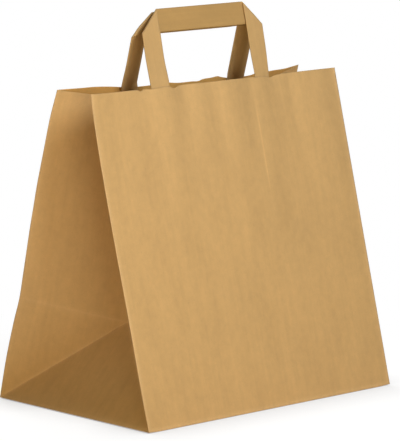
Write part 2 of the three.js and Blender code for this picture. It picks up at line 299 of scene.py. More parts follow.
# The same across the wide panels, with three more stops that hold the sharp line.
def wideStops():
    line = wear["line"]
    extra = [(line["x"] + step * line["halfWidth"] + halfWidth) / bag["width"] for step in (-1, 0, 1)]
    return sorted(stops(bag["width"], bag["cell"]) + extra)


# A surface held by its four edge curves, each a function from 0 to 1.
def heldSurface(low, high, left, right):
    c00, c10, c01, c11 = low(0), low(1), high(0), high(1)

    def at(u, v):
        across = low(u) * (1 - v) + high(u) * v + left(v) * (1 - u) + right(v) * u
        corners = (c00 * (1 - u) + c10 * u) * (1 - v) + (c01 * (1 - u) + c11 * u) * v
        return across - corners

    return at


def straight(a, b):
    return lambda t: a + (b - a) * t


def onePoint(place):
    return lambda t: place


def distanceTo(point, a, b):
    along = b - a
    t = min(max((point - a).dot(along) / max(along.length_squared, 1e-9), 0), 1)
    return (point - a - along * t).length


# Folds from corner to corner, each with how much its edge is rubbed and lit by a painted highlight.
def foldsAlong(corners, wearsAndHighlights):
    return list(zip(corners, corners[1:], wearsAndHighlights))


# Adds one panel to the sheet. flatAt gives the same place on the sheet before folding, and folds are the
# panel's folded edges there, each with how much it is rubbed and lit by a painted highlight. Returns the
# panel's grid of corners.
def addPanel(sheet, uStops, vStops, placeAt, flatAt, folds=()):
    places = [[placeAt(u, v) for u in uStops] for v in vStops]
    flats = [[flatAt(u, v) for u in uStops] for v in vStops]
    uvLayer, foldLayer = sheet.loops.layers.uv["sheet"], sheet.verts.layers.float["foldDistance"]
    wearAndHighlightLayer = sheet.verts.layers.float["foldWearAndHighlight"]
    corners = []
    for j, row in enumerate(places):
        corners.append([])
        for i, place in enumerate(row):
            corner = sheet.verts.new(place * mm)
            near = [(distanceTo(flats[j][i], a, b), wearAndHighlight) for a, b, wearAndHighlight in folds]
            if near:
                wearsAndHighlights = [wearAndHighlight * math.exp(-distance / wear["wearAndHighlightReach"]) for distance, wearAndHighlight in near]
                corner[foldLayer] = min(distance for distance, wearAndHighlight in near)
                corner[wearAndHighlightLayer] = max(wearsAndHighlights)
            corners[-1].append(corner)
    for j in range(len(vStops) - 1):
        for i in range(len(uStops) - 1):
            ring = [(j, i), (j, i + 1), (j + 1, i + 1), (j + 1, i)]
            face = sheet.faces.new([corners[a][b] for a, b in ring])
            face.smooth = True
            for loop, (a, b) in zip(face.loops, ring):
                loop[uvLayer].uv = flats[a][b].xy * mm
    return corners


def newSheet():
    sheet = bmesh.new()
    sheet.loops.layers.uv.new("sheet")
    for layer in ("foldDistance", "foldWearAndHighlight", "bandPaintedShading"):
        sheet.verts.layers.float.new(layer)
    return sheet


# How much the folds are rubbed and lit by a painted highlight. A gusset's are listed panel by panel, as
# addGusset goes round them.
panelWearAndHighlight = {"front": 1.0, "foot": 1.0, "backSide": 0.8, "backCrease": 0.3}
gussetWearAndHighlight = {
    "front": (1.0, 0.7, 0.5),  # front fold, slanted crease, centre fold
    "back": (0.8, 0.3, 0.5),  # back fold, level crease, centre fold
    "foot": (0.5, 0.6, 1.0),  # both slanted creases, bottom fold
    "backCorner": (0.7, 0.3, 0.8),  # slanted crease, level crease, back fold
}


def addFrontAndBack(sheet):
    width, height = bag["width"], bag["panelHeight"]
    across = wideStops()
    lower, upper = stops(creaseHeight, bag["cell"]), stops(height, bag["cell"])

    def x(u):
        return (u - 0.5) * width

    def frontFlat(u, s):
        return Vector((u * width, s, 0))

    def backFlat(u, s):
        return Vector((-bag["depth"] - u * width, s, 0))

    low, high = [frontFlat(u, 0) for u in (0, 1)], [frontFlat(u, height) for u in (0, 1)]
    corners = addPanel(
        sheet, across, upper,
        lambda u, v: frontAt(x(u), v * height),
        lambda u, v: frontFlat(u, v * height),
        [(a, b, panelWearAndHighlight["front"]) for a, b in ((low[0], low[1]), (low[1], high[1]), (low[0], high[0]))],
    )
    # Paints the bands' and the line's light and shade into the front panel's colour.
    paintedShadingLayer = sheet.verts.layers.float["bandPaintedShading"]
    for v, row in zip(upper, corners):
        for u, corner in zip(across, row):
            corner[paintedShadingLayer] = bandPaintedShading(x(u), v * height)

    foot, side, crease = panelWearAndHighlight["foot"], panelWearAndHighlight["backSide"], panelWearAndHighlight["backCrease"]
    base = [backFlat(0, 0), backFlat(1, 0), backFlat(1, creaseHeight), backFlat(0, creaseHeight)]
    top = [backFlat(u, height) for u in (0, 1)]
    justBelow = creaseHeight * 0.9999999  # so that the crease is reached from below
    addPanel(
        sheet, across, lower,
        lambda u, v: backAt(-x(1 - u), v * justBelow),
        lambda u, v: backFlat(u, v * creaseHeight),
        foldsAlong(base + base[:1], (foot, side, crease, side)),
    )
    addPanel(
        sheet, across, upper,
        lambda u, v: backAt(-x(1 - u), creaseHeight + v * upperHeight),
        lambda u, v: backFlat(u, creaseHeight + v * upperHeight),
        [(base[2], base[3], crease), (base[2], top[1], side), (base[3], top[0], side)],
    )


def addGusset(sheet, side):
    height, depth, x = bag["panelHeight"], bag["depth"], side * halfWidth
    apex, rimInner = gussetPoints(side)
    start = 0 if side < 0 else bag["width"]

    def frontFold(t):
        return frontAt(x, t * height)

    def backLower(t):
        return backAt(x, t * creaseHeight)

    def backUpper(t):
        return backAt(x, creaseHeight + t * upperHeight)

    def flat(into, s):
        return Vector((start + side * into, s, 0))

    centreFold = straight(apex, rimInner)
    frontDiagonal, backDiagonal = straight(frontFold(0), apex), straight(backLower(0), apex)
    crease = straight(backUpper(0), apex)
    half, across = stops(halfDepth, bag["cell"]), stops(depth, bag["cell"])
    lower, upper = stops(creaseHeight, bag["cell"]), stops(height, bag["cell"])

    # The same corners on the flat sheet.
    frontFoot, frontTop = flat(0, 0), flat(0, height)
    backFoot, backCrease, backTop = flat(depth, 0), flat(depth, creaseHeight), flat(depth, height)
    middle, middleTop = flat(halfDepth, creaseHeight), flat(halfDepth, height)

    addPanel(
        sheet, half, upper,
        heldSurface(frontDiagonal, straight(frontFold(1), rimInner), frontFold, centreFold),
        heldSurface(
            straight(frontFoot, middle), straight(frontTop, middleTop),
            straight(frontFoot, frontTop), straight(middle, middleTop),
        ),
        foldsAlong((frontTop, frontFoot, middle, middleTop), gussetWearAndHighlight["front"]),
    )
    addPanel(
        sheet, half, upper,
        heldSurface(crease, straight(backUpper(1), rimInner), backUpper, centreFold),
        lambda u, v: flat(depth - u * halfDepth, creaseHeight + v * upperHeight),
        foldsAlong((backTop, backCrease, middle, middleTop), gussetWearAndHighlight["back"]),
    )
    addPanel(
        sheet, across, half,
        heldSurface(straight(frontFold(0), backLower(0)), onePoint(apex), frontDiagonal, backDiagonal),
        heldSurface(
            straight(frontFoot, backFoot), onePoint(middle),
            straight(frontFoot, middle), straight(backFoot, middle),
        ),
        foldsAlong((frontFoot, middle, backFoot, frontFoot), gussetWearAndHighlight["foot"]),
    )
    addPanel(
        sheet, half, lower,
        heldSurface(backDiagonal, crease, backLower, onePoint(apex)),
        heldSurface(
            straight(backFoot, middle), straight(backCrease, middle),
            straight(backFoot, backCrease), onePoint(middle),
        ),
        foldsAlong((backFoot, middle, backCrease, backFoot), gussetWearAndHighlight["backCorner"]),
    )


# The block bottom: the two end flaps lie inside, and the two long ones are lapped and glued under them.
def addBottom(sheet):
    reach = stops(bag["flapLength"], bag["cell"])
    across, ends = wideStops(), stops(bag["depth"], bag["cell"])
    under, lap, ramp = bag["thickness"] / 2, bag["flapLap"] / 2, bag["flapRamp"]
    for side in (-1, 1):

        def longFlapAt(u, v, side=side):
            into = v * bag["flapLength"]
            x = (u - 0.5) * 2 * (halfWidth - into * bag["flapNarrowing"])
            start = bottomLevel((u - 0.5) * bag["width"])
            level = mix(start, under, smooth(into / bag["flapDrop"]))
            y = side * (halfDepth - into)
            if side < 0:  # the front flap rises over the back one
                level += (bag["thickness"] + bag["flapGap"]) * smooth((y + lap + ramp) / ramp)
            return Vector((x, y, level))

        def longFlapFlat(u, v, side=side):
            x = (u if side < 0 else -bag["depth"] / bag["width"] - u) * bag["width"]
            return Vector((x, -v * bag["flapLength"], 0))

        def endFlapAt(u, v, side=side):
            into = v * bag["flapLength"]
            tuck = bag["endFlapTuck"] * smooth(into / bag["tuckReach"])
            y = (u - 0.5) * 2 * (halfDepth - tuck)
            level = mix(bag["cornerLevel"], bag["endFlapLevel"], smooth(into / bag["flapDrop"]))
            return Vector((side * (halfWidth - into), y, level))

        def endFlapFlat(u, v, side=side):
            start = 0 if side < 0 else bag["width"]
            return Vector((start + side * u * bag["depth"], -v * bag["flapLength"], 0))

        for stopsAcross, placeAt, flatAt in (
            (across, longFlapAt, longFlapFlat), (ends, endFlapAt, endFlapFlat),
        ):
            bottomFold = (flatAt(0, 0), flatAt(1, 0), panelWearAndHighlight["foot"])
            addPanel(sheet, stopsAcross, reach, placeAt, flatAt, [bottomFold])


# Draws the fold lines in towards their neighbours, so that no fold is a knife edge.
def roundFolds(sheet):
    foldLayer = sheet.verts.layers.float["foldDistance"]
    amount, limit = bag["foldRounding"], bag["foldRounding"] * mm
    onFold = 1e-4
    moves = []
    for corner in sheet.verts:
        if corner[foldLayer] < onFold and not corner.is_boundary:
            around = [edge.other_vert(corner).co for edge in corner.link_edges]
            shift = sum(around, Vector()) / len(around) - corner.co
            near = shift.length < 3 * limit
            moves.append((corner, shift * amount if near else shift.normalized() * limit))
    for corner, shift in moves:
        corner.co += shift


# Turns a sheet's faces over where the one that stands furthest to the front, side -1, or to the back,
# side 1, looks the other way.
def turnOutward(sheet, side):
    outermost = max(sheet.faces, key=lambda face: face.calc_center_median().y * side)
    outermost.normal_update()
    if outermost.normal.y * side < 0:
        bmesh.ops.reverse_faces(sheet, faces=sheet.faces)


def pieceFrom(sheet, name):
    mesh = bpy.data.meshes.new(name)
    sheet.to_mesh(mesh)
    sheet.free()
    piece = bpy.data.objects.new(name, mesh)
    scene.collection.objects.link(piece)
    return piece


# Swaps a piece's mesh for what its modifiers make of it.
def bakeModifiers(piece):
    ready = piece.evaluated_get(bpy.context.evaluated_depsgraph_get())
    mesh = bpy.data.meshes.new_from_object(ready)
    piece.modifiers.clear()
    piece.data = mesh


# Gives a sheet its thickness, and marks the face away from its normals as the inner one, where the sheet
# paper paints a warm bounce light into its colour. Its cut edges stay crisp, or are rounded for folded tape.
def thicken(piece, thickness, material, edgeRound=0.0):
    outward = [vertex.normal.copy() for vertex in piece.data.vertices]
    piece.data.materials.clear()
    piece.data.materials.append(material)
    for face in piece.data.polygons:
        face.material_index = 0
    solid = piece.modifiers.new("paper thickness", "SOLIDIFY")
    solid.thickness = thickness * mm
    solid.offset = 0.0
    solid.material_offset_rim = 1  # tells the cut edges apart, until they are rounded or made crisp
    bakeModifiers(piece)
    places = [vertex.co.copy() for vertex in piece.data.vertices]
    inside = piece.data.attributes.new("inside", "FLOAT", "POINT").data
    for corner, normal in enumerate(outward):
        other = corner + len(outward)
        firstOut = (places[corner] - places[other]).dot(normal) > 0
        inside[corner].value, inside[other].value = (0.0, 1.0) if firstOut else (1.0, 0.0)
    shape = bmesh.new()
    shape.from_mesh(piece.data)
    rims = [face for face in shape.faces if face.material_index == 1]
    edges = {
        edge for face in rims for edge in face.edges
        if any(beside.material_index == 0 for beside in edge.link_faces)
    }
    for face in rims:
        face.material_index = 0
    if edgeRound:
        bmesh.ops.bevel(shape, geom=list(edges), offset=edgeRound * mm, segments=2, affect="EDGES")
    else:
        for edge in edges:
            edge.smooth = False
    for face in shape.faces:
        face.smooth = True
    shape.to_mesh(piece.data)
    shape.free()


def socketId(tree, name):
    inputs = [item for item in tree.interface.items_tree if item.in_out == "INPUT"]
    return next(item.identifier for item in inputs if item.name == name)


def runNodes(piece, tree, values):
    grower = piece.modifiers.new(tree.name, "NODES")
    grower.node_group = tree
    for name, value in values.items():
        grower[socketId(tree, name)] = value
    bakeModifiers(piece)


# A Geometry Nodes tree with a geometry, named numbers and a material going in, and a geometry coming out.
def newTree(name, numbers):
    tree = bpy.data.node_groups.new(name, "GeometryNodeTree")
    tree.is_modifier = True
    tree.interface.new_socket("Geometry", in_out="INPUT", socket_type="NodeSocketGeometry")
    for label in numbers:
        tree.interface.new_socket(label, in_out="INPUT", socket_type="NodeSocketFloat")
    tree.interface.new_socket("Material", in_out="INPUT", socket_type="NodeSocketMaterial")
    tree.interface.new_socket("Geometry", in_out="OUTPUT", socket_type="NodeSocketGeometry")
    return tree, tree.nodes.new("NodeGroupInput"), tree.nodes.new("NodeGroupOutput")


# One node with its settings and inputs. An input is a value or another node's output.
def addNode(tree, kind, inputs=(), **settings):
    made = tree.nodes.new(kind)
    for key, value in settings.items():
        setattr(made, key, value)
    pairs = inputs.items() if isinstance(inputs, dict) else enumerate(inputs)
    for socket, value in pairs:
        if isinstance(value, bpy.types.NodeSocket):
            tree.links.new(value, made.inputs[socket])
        elif value is not None:
            made.inputs[socket].default_value = value
    return made


def maths(tree, operation, *inputs):
    return addNode(tree, "ShaderNodeMath", inputs, operation=operation).outputs[0]


def times(tree, a, b):
    return maths(tree, "MULTIPLY", a, b)


def minus(tree, a, b):
    return maths(tree, "SUBTRACT", a, b)


def asVector(tree, x, y, z):
    return addNode(tree, "ShaderNodeCombineXYZ", (x, y, z)).outputs[0]


def scaled(tree, vector, factor):
    return addNode(tree, "ShaderNodeVectorMath", {0: vector, "Scale": factor}, operation="SCALE").outputs[0]


def movedBy(tree, shape, offset):
    return addNode(tree, "GeometryNodeSetPosition", {"Geometry": shape, "Offset": offset}).outputs[0]


def position(tree):
    return addNode(tree, "GeometryNodeInputPosition").outputs[0]


def finishTree(tree, shape, given, result):
    real = addNode(tree, "GeometryNodeRealizeInstances", {"Geometry": shape}).outputs[0]
    material = given.outputs["Material"]
    painted = addNode(tree, "GeometryNodeSetMaterial", {"Geometry": real, "Material": material})
    tree.links.new(painted.outputs[0], result.inputs[0])


# Paper never lies quite flat: soft swells between the folds, none at a fold or where the sheet is glued.
def cockleTree():
    tree, given, result = newTree("paper cockle", ("Swell", "Size", "Stretch", "Seed"))
    flatter = asVector(tree, 1.0, 1.0, maths(tree, "DIVIDE", 1.0, given.outputs["Stretch"]))
    along = addNode(tree, "ShaderNodeVectorMath", (position(tree), flatter), operation="MULTIPLY").outputs[0]
    pattern = scaled(tree, along, maths(tree, "DIVIDE", 1.0, given.outputs["Size"]))
    swell = addNode(
        tree, "ShaderNodeTexNoise",
        {"Vector": pattern, "W": given.outputs["Seed"], "Scale": 1.0, "Detail": 1.5},
        noise_dimensions="4D",
    ).outputs[0]
    slack = addNode(tree, "GeometryNodeInputNamedAttribute", {"Name": "slack"}, data_type="FLOAT").outputs[0]
    height = times(tree, times(tree, minus(tree, swell, 0.5), given.outputs["Swell"]), slack)
    normal = addNode(tree, "GeometryNodeInputNormal").outputs[0]
    shape = movedBy(tree, given.outputs[0], scaled(tree, normal, height))
    finishTree(tree, shape, given, result)
    return tree


cockle = cockleTree()

# Kraft paper, coloured in the flat sheet's own coordinates so that its streaks run up the sheet.
kraftSheet = {
    "colour": (0.612, 0.386, 0.162),
    # The inner colour is painted warm bounce light on the faces inside the bag.
    "inner": (0.67, 0.375, 0.105),
    "wornAndHighlighted": (0.80, 0.54, 0.28),
    "roughness": 0.78,
    "cloud": 0.11,
    "mottle": 0.10,
    "streak": 0.05,
    "fibre": 0.10,
    "fleck": 0.12,
    "bump": 0.25,
}
kraftTape = {
    "colour": (0.580, 0.366, 0.153),
    # The darker colour below is painted shade on the handle's top strip, which takes less light than its
    # legs.
    "stripPaintedShade": (0.475, 0.288, 0.104),
    "stripShadeEnd": (0.062, 0.066),  # where the painted shade on the top strip stops at the folded corner, in metres
    "wornAndHighlighted": (0.74, 0.50, 0.25),
    "roughness": 0.72,
    "cloud": 0.08,
    "mottle": 0.06,
    "streak": 0.08,
    "fibre": 0.08,
    "fleck": 0.1,
    "bump": 0.18,
}
kraftPatch = {
    "colour": (0.485, 0.275, 0.095),
    "wornAndHighlighted": (0.6, 0.38, 0.16),
    "roughness": 0.82,
    "cloud": 0.15,
    "mottle": 0.08,
    "streak": 0.06,
    "fibre": 0.1,
    "fleck": 0.12,
    "bump": 0.3,
}
# What all kraft has in common. A grain is its fineness across and along the sheet, its detail and roughness.
kraft = {
    "grain": {
        "cloud": ((44, 15, 1), 2.5, 0.55),
        "mottle": ((150, 110, 1), 3.0, 0.6),
        "streak": ((300, 12, 1), 2.0, 0.5),
        "fibre": ((1700, 620, 1), 3.0, 0.6),
        "fleck": ((760, 420, 1), 2.0, 0.5),
    },
    "fleckRange": (0.66, 0.74),
    "fibreInWearAndHighlight": (0.8, 0.25),
    "roughSpread": 0.16,
    "specular": 0.3,
    "bumpDepth": 0.0002,  # metres
}


def kraftMaterial(name, look):
    material = bpy.data.materials.new(name)
    material.use_nodes = True
    tree = material.node_tree
    tree.nodes.clear()
    paper = addNode(tree, "ShaderNodeBsdfPrincipled", {"Specular IOR Level": kraft["specular"]})
    out = addNode(tree, "ShaderNodeOutputMaterial")
    tree.links.new(paper.outputs[0], out.inputs[0])
    sheet = addNode(tree, "ShaderNodeUVMap", uv_map="sheet").outputs[0]

    def grain(scale, detail, roughness):
        stretched = addNode(tree, "ShaderNodeMapping", {"Vector": sheet, "Scale": scale}).outputs[0]
        return addNode(
            tree, "ShaderNodeTexNoise",
            {"Vector": stretched, "Scale": 1.0, "Detail": detail, "Roughness": roughness},
            noise_dimensions="3D",
        ).outputs[0]

    def painted(attribute):
        return addNode(tree, "ShaderNodeAttribute", attribute_name=attribute).outputs["Fac"]

    def between(value, low, high, atLow, atHigh):
        inputs = {0: value, 1: low, 2: high, 3: atLow, 4: atHigh}
        return addNode(tree, "ShaderNodeMapRange", inputs).outputs[0]

    def tinted(share, first, colour):
        inputs = {0: share, 6: first, 7: (*look[colour], 1)}
        return addNode(tree, "ShaderNodeMix", inputs, data_type="RGBA").outputs[2]

    grains = {name: grain(*values) for name, values in kraft["grain"].items()}

    def around(name):
        return maths(tree, "MULTIPLY_ADD", minus(tree, grains[name], 0.5), 2 * look[name], 1.0)

    tone = times(tree, around("cloud"), around("streak"))
    tone = times(tree, tone, around("mottle"))
    tone = times(tree, tone, around("fibre"))
    # Painted light and shade of the front panel's bands and line.
    tone = times(tree, tone, maths(tree, "ADD", painted("bandPaintedShading"), 1.0))
    dark = between(grains["fleck"], *kraft["fleckRange"], 0.0, look["fleck"])
    tone = times(tree, tone, minus(tree, 1.0, dark))

    base = (*look["colour"], 1)
    # Painted shade on the handle's top strip, up to its folded corners.
    if "stripPaintedShade" in look:
        flat = addNode(tree, "ShaderNodeSeparateXYZ", {0: sheet})
        toCorner = maths(tree, "ADD", maths(tree, "ABSOLUTE", flat.outputs[1]), flat.outputs[0])
        base = tinted(between(toCorner, *look["stripShadeEnd"], 1.0, 0.0), base, "stripPaintedShade")
    # Painted warm bounce light on the inner faces.
    if "inner" in look:
        base = tinted(painted("inside"), base, "inner")
    # Folds are drawn lighter, as rubbed wear and as a painted highlight along their edges.
    uneven = maths(tree, "MULTIPLY_ADD", grains["fibre"], *kraft["fibreInWearAndHighlight"])
    base = tinted(times(tree, painted("foldWearAndHighlight"), uneven), base, "wornAndHighlighted")
    tree.links.new(scaled(tree, base, tone), paper.inputs["Base Color"])

    spread = kraft["roughSpread"]
    rough = maths(tree, "MULTIPLY_ADD", grains["fibre"], spread, look["roughness"] - spread / 2)
    tree.links.new(rough, paper.inputs["Roughness"])
    relief = maths(tree, "ADD", times(tree, grains["streak"], 0.5), grains["fibre"])
    bump = addNode(
        tree, "ShaderNodeBump", {"Strength": look["bump"], "Distance": kraft["bumpDepth"], "Height": relief}
    ).outputs[0]
    tree.links.new(bump, paper.inputs["Normal"])
    return material


sheetPaper = kraftMaterial("kraft sheet", kraftSheet)
tapePaper = kraftMaterial("kraft tape", kraftTape)
patchPaper = kraftMaterial("kraft patch", kraftPatch)
print("materials made")

# How the sheet cockles, and where it can't: on its bottom, behind the handles' patches and under the seam.
cockling = {
    "swell": 2.8,
    "size": 40.0,
    "stretch": 2.2,
    "seed": 3.0,
    "slackReach": 28.0,  # the paper is free to swell this far from a fold
    "bottomBelow": 3.0,
    "rimAbove": 225.0,
    "rimFade": 25.0,
    "rimDepth": 60.0,
    "patchHalf": 100.0,
    "patchFade": 20.0,
    "seamMargin": 3.0,
    "seamFade": 14.0,
}
# The sheet's outer end, lapped up the back panel. Its hidden end is sunk into the sheet.
seam = {
    "width": 18.0,
    "inset": 14.0,
    "lift": 0.02,
    "hiddenEnd": 5.0,
    "sinkReach": 4.6,
    "endGap": 1.0,
    "cellAcross": 2.4,
    "cellUp": 3.4,
    "creaseWearAndHighlight": 0.3,
}


# How far a place is kept from cockling, from 0 to 1.
def heldFlat(place):
    if place.z < cockling["bottomBelow"]:
        return 1.0
    half = seam["width"] / 2
    fromSeam = abs(place.x - halfWidth + seam["inset"] + half)
    onSeam = 1 - smooth((fromSeam - half - cockling["seamMargin"]) / cockling["seamFade"])
    nearRim = smooth((place.z - cockling["rimAbove"]) / cockling["rimFade"])
    onPatch = 1 - smooth((abs(place.x) - cockling["patchHalf"]) / cockling["patchFade"])
    return max(
        onSeam if place.y > 0 else 0.0,
        nearRim * onPatch if abs(place.y) < cockling["rimDepth"] else 0.0,
    )


def paintSlack(piece):
    mesh = piece.data
    fold = mesh.attributes["foldDistance"].data
    slack = mesh.attributes.new("slack", "FLOAT", "POINT").data
    for corner, vertex in enumerate(mesh.vertices):
        free = smooth(fold[corner].value / cockling["slackReach"])
        slack[corner].value = free * (1 - heldFlat(vertex.co / mm))


def addBagSheet():
    sheet = newSheet()
    addFrontAndBack(sheet)
    addGusset(sheet, -1)
    addGusset(sheet, 1)
    addBottom(sheet)
    bmesh.ops.remove_doubles(sheet, verts=sheet.verts, dist=weld)
    bmesh.ops.recalc_face_normals(sheet, faces=sheet.faces)
    turnOutward(sheet, -1)
    roundFolds(sheet)
    piece = pieceFrom(sheet, "bagSheet")
    paintSlack(piece)
    runNodes(
        piece, cockle,
        {
            "Swell": cockling["swell"] * mm, "Size": cockling["size"] * mm,
            "Stretch": cockling["stretch"], "Seed": cockling["seed"], "Material": sheetPaper,
        },
    )
    thicken(piece, bag["thickness"], sheetPaper)
    return piece


def addSeam():
    sheet = newSheet()
    outer = halfWidth - seam["inset"]
    inner = outer - seam["width"]
    end = outer + seam["hiddenEnd"]
    lift = bag["thickness"] + seam["lift"]
    across = stops(seam["width"] + seam["hiddenEnd"], seam["cellAcross"])

    def flat(x, s):
        return Vector((-bag["depth"] - (halfWidth - x), s, 0))

    # The two lengths meet at the crease, and the upper one starts a hair above it.
    for low, high, above in (
        (seam["endGap"], creaseHeight, 0.0), (creaseHeight, bag["panelHeight"] - seam["endGap"], 1e-6),
    ):

        def seamAt(u, v, low=low, high=high, above=above):
            x = mix(inner, end, u)
            outward = lift * (1 - smooth((x - outer) / seam["sinkReach"]))
            return backAt(x, mix(low, high, v) + above, -outward)

        def seamFlat(u, v, low=low, high=high):
            return flat(mix(inner, end, u), mix(low, high, v))

        crease = [(flat(inner, creaseHeight), flat(end, creaseHeight), seam["creaseWearAndHighlight"])]
        addPanel(sheet, across, stops(high - low, seam["cellUp"]), seamAt, seamFlat, crease)
    bmesh.ops.remove_doubles(sheet, verts=sheet.verts, dist=weld)
    turnOutward(sheet, 1)
    piece = pieceFrom(sheet, "gluedSeam")
    thicken(piece, bag["thickness"], sheetPaper)
    return piece


# Turns everything past a 45 degree line over, round a small bend: the handle's folded corner.
def addCornerFold(tree, shape, side, foldSum, radius):
    place = addNode(tree, "ShaderNodeSeparateXYZ", {0: position(tree)})
    toCorner = maths(tree, "MULTIPLY_ADD", place.outputs[0], float(side), place.outputs[1])
    past = times(tree, minus(tree, toCorner, foldSum), math.sqrt(0.5))
    turned = maths(tree, "MAXIMUM", maths(tree, "DIVIDE", past, radius), 0.0)
    turned = maths(tree, "MINIMUM", turned, math.pi)
    beyond = maths(tree, "MAXIMUM", minus(tree, past, times(tree, radius, math.pi)), 0.0)
    reach = minus(tree, times(tree, radius, maths(tree, "SINE", turned)), beyond)
    start = maths(tree, "MAXIMUM", past, 0.0)
    shift = times(tree, minus(tree, reach, start), math.sqrt(0.5))
    drop = times(tree, radius, minus(tree, maths(tree, "COSINE", turned), 1.0))
    return movedBy(tree, shape, asVector(tree, times(tree, shift, float(side)), shift, drop))


# A flat strip, folded over at both top corners, still in its own plane: the legs lie lowest.
def tapeTree():
    numbers = ("Tape Length", "Tape Width", "Span", "Rise", "Bend Radius", "Cell")
    tree, given, result = newTree("folded handle tape", numbers)
    length, width, span, rise, radius, cell = (given.outputs[name] for name in numbers)
    countAlong, countAcross = (
        maths(tree, "CEIL", maths(tree, "DIVIDE", side, cell)) for side in (length, width)
    )
    strip = addNode(tree, "GeometryNodeMeshGrid", (length, width, countAlong, countAcross)).outputs[0]
    flat = addNode(tree, "ShaderNodeSeparateXYZ", {0: position(tree)})
    turned = asVector(tree, flat.outputs[1], flat.outputs[0], 0.0)  # the paper's grain runs along the tape
    marked = addNode(
        tree, "GeometryNodeStoreNamedAttribute", {"Geometry": strip, "Name": "sheet", "Value": turned},
        data_type="FLOAT2", domain="CORNER",
    ).outputs[0]
    height = minus(tree, rise, times(tree, width, 0.5))
    shape = movedBy(tree, marked, asVector(tree, 0.0, height, times(tree, radius, 2.0)))
    foldSum = minus(tree, maths(tree, "MULTIPLY_ADD", span, 0.5, rise), width)
    for side in (1, -1):
        shape = addCornerFold(tree, shape, side, foldSum, radius)
    finishTree(tree, shape, given, result)
    return tree


tapeFolding = tapeTree()

# Both handles, and then each one as it stands in the photo: its size, how far it sits off the middle, how
# far it leans, and its two legs' twists.
handle = {
    "tapeWidth": 22.0,
    "thickness": 0.7,
    "tuck": 44.0,
    "bendRadius": 0.8,
    "edgeRound": 0.22,
    "cell": 1.1,
    "clearance": 0.3,
    "twistEase": 10.0,
    "footEase": 8.0,
    "rimEase": 5.0,
    "cornerGap": 2.0,
    "cornerEase": 16.0,
    "settleReach": 30.0,
}
frontHandle = {"span": 153.0, "rise": 74.0, "shift": -5.0, "lean": 12.5, "twist": (2.5, 3.6)}
backHandle = {"span": 158.0, "rise": 76.8, "shift": -4.0, "lean": 15.0, "twist": (12.0, 3.6)}
cadPaper = 0.4  # the CAD part's thicknesses, which the levels of tapes and patches start from
cadTape = 0.8


# Places on a handle or patch: u across, v up from the rim, n into the bag from the wall's middle. Below
# the rim they follow the wall, and above it they lie in the handle's own leaning plane.
def placer(wallAt, facing, own):
    width, height = handle["tapeWidth"], bag["panelHeight"]
    legCentre = (own["span"] - width) / 2
    rim = wallAt(legCentre, height)
    a = math.radians(own["lean"])
    up = Vector((0, -facing * math.sin(a), math.cos(a)))
    inward = Vector((0, -facing * math.cos(a), -math.sin(a)))

    def place(u, v, n):
        x = u + own["shift"]
        turn = math.radians(own["twist"][0] if u < 0 else own["twist"][1])
        onLeg = smooth((abs(u) - legCentre + width) / handle["twistEase"])
        turned = math.tan(turn) * min(abs(u) - legCentre, width / 2) * onLeg
        awayFromWall, towardsWall = max(turned, 0), min(turned, 0)
        if v <= 0:
            return wallAt(x, height + v, n + awayFromWall * smooth(1 + v / handle["footEase"]))
        onUpright = 1 - smooth((v - own["rise"] + width + handle["cornerGap"]) / handle["cornerEase"])
        offset = n + (awayFromWall + towardsWall * smooth(v / handle["rimEase"])) * onUpright
        footing = wallAt(x, height)
        settle = 1 - smooth(v / handle["settleReach"])
        at = Vector((x, mix(rim.y, footing.y, settle), mix(rim.z, footing.z, settle)))
        return at + up * v + inward * offset

    return place


def addHandle(name, place, own):
    mesh = bpy.data.meshes.new(name)
    piece = bpy.data.objects.new(name, mesh)
    scene.collection.objects.link(piece)
    foldSum = own["span"] / 2 + own["rise"] - handle["tapeWidth"]
    tapeLength = 2 * (foldSum + handle["tuck"] + math.pi * handle["bendRadius"] * math.sqrt(0.5))
    runNodes(
        piece, tapeFolding,
        {
            "Tape Length": tapeLength * mm, "Tape Width": handle["tapeWidth"] * mm,
            "Span": own["span"] * mm, "Rise": own["rise"] * mm,
            "Bend Radius": handle["bendRadius"] * mm, "Cell": handle["cell"] * mm, "Material": tapePaper,
        },
    )
    legLevel = cadPaper / 2 + handle["clearance"] + cadTape / 2
    for vertex in piece.data.vertices:
        u, v, n = vertex.co / mm
        vertex.co = place(u, v, n + legLevel) * mm
    thicken(piece, handle["thickness"], tapePaper, handle["edgeRound"])
    print(name, "tape length", round(tapeLength), "mm")
    return piece


patch = {"width": 196.0, "height": 50.0, "drop": 6.0, "ramp": 3.0, "cellAcross": 1.8, "cellDown": 2.4}


# A strip glued over both ends of a handle, raised where the legs lie under it.
def addPatch(name, place, own):
    ramp, clearance = patch["ramp"], handle["clearance"]
    low = cadPaper + clearance
    step = cadTape + clearance
    legOuter = own["span"] / 2 + clearance
    legInner = own["span"] / 2 - handle["tapeWidth"] - clearance

    def levelAt(u, down):
        overLeg = smooth((abs(u) - legInner + ramp) / ramp) * (1 - smooth((abs(u) - legOuter) / ramp))
        alongLeg = 1 - smooth((down + patch["drop"] - handle["tuck"]) / ramp)
        return low + step * overLeg * alongLeg

    def patchAt(u, v):
        across, down = (u - 0.5) * patch["width"], (1 - v) * patch["height"]
        return place(across, -patch["drop"] - down, levelAt(across, down))

    def patchFlat(u, v):
        return Vector((u * patch["width"], v * patch["height"], 0))

    sheet = newSheet()
    across, down = stops(patch["width"], patch["cellAcross"]), stops(patch["height"], patch["cellDown"])
    addPanel(sheet, across, down, patchAt, patchFlat)
    piece = pieceFrom(sheet, name)
    thicken(piece, bag["thickness"], patchPaper)
    return piece


